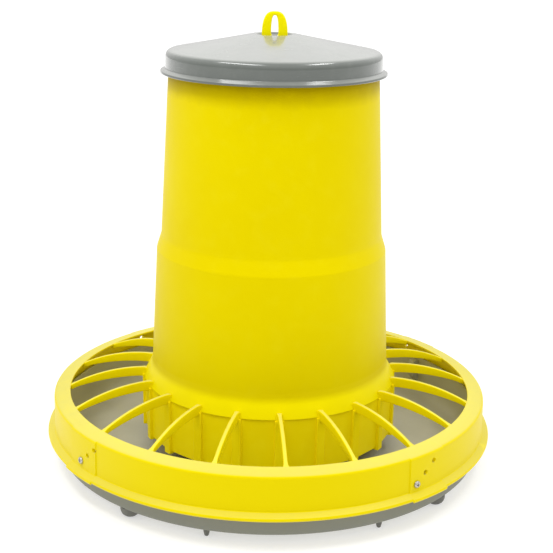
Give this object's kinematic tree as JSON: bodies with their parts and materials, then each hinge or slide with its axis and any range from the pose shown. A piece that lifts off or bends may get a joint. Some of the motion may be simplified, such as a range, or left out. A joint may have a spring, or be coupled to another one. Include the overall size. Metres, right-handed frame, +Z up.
{
  "type": "gravity poultry feeder",
  "caption": "Tapered feed hopper standing in a round pan inside a barred feeding ring, with a shallow domed lid and an upright hanging eye through its middle.",
  "frame": {"origin": "on the ground at the centre of the pan, level with the tips of its feet", "axes": "+Z up the hopper's axis; -Y is the front, the side seen with a screw pad to each side; the hanging eye is broad along X"},
  "size_m": [0.5198, 0.5198, 0.5127],
  "materials": {
    "yellow_moulding": "satin moulded polypropylene, full yellow",
    "grey_pan": "satin moulded polypropylene, warm grey",
    "grey_lid": "glossy moulded plastic, light grey",
    "screw_steel": "zinc-plated steel"
  },
  "bodies": {
    "feeder": {"rim_right_front": "yellow_moulding", "rim_right_rear": "yellow_moulding", "rim_left_rear": "yellow_moulding", "rim_left_front": "yellow_moulding", "spoke_01": "yellow_moulding", "spoke_02": "yellow_moulding", "spoke_03": "yellow_moulding", "spoke_04": "yellow_moulding", "spoke_05": "yellow_moulding", "spoke_06": "yellow_moulding", "spoke_07": "yellow_moulding", "spoke_08": "yellow_moulding", "spoke_09": "yellow_moulding", "spoke_10": "yellow_moulding", "spoke_11": "yellow_moulding", "spoke_12": "yellow_moulding", "spoke_13": "yellow_moulding", "spoke_14": "yellow_moulding", "spoke_15": "yellow_moulding", "spoke_16": "yellow_moulding", "spoke_17": "yellow_moulding", "spoke_18": "yellow_moulding", "spoke_19": "yellow_moulding", "spoke_20": "yellow_moulding", "collar": "yellow_moulding", "skirt": "yellow_moulding", "hopper": "yellow_moulding", "hanger_bar": "yellow_moulding", "hanging_eye": "yellow_moulding", "pan_floor": "grey_pan", "pan_wall": "grey_pan", "spreading_cone": "grey_pan", "screw_boss_1": "grey_pan", "screw_boss_2": "grey_pan", "screw_boss_3": "grey_pan", "screw_boss_4": "grey_pan", "foot_1": "grey_pan", "foot_2": "grey_pan", "foot_3": "grey_pan", "foot_4": "grey_pan", "peg_1": "grey_pan", "peg_2": "grey_pan", "peg_3": "grey_pan", "peg_4": "grey_pan", "peg_5": "grey_pan", "peg_6": "grey_pan", "peg_7": "grey_pan", "peg_8": "grey_pan", "screw_1": "screw_steel", "screw_2": "screw_steel", "screw_3": "screw_steel", "screw_4": "screw_steel"},
    "lid": {"lid": "grey_lid"}
  },
  "joints": [
    {"name": "lid_lift", "type": "slide", "parent": "feeder", "child": "lid", "axis": [0, 0, 1], "range_m": [0, 0.075]}
  ]
}
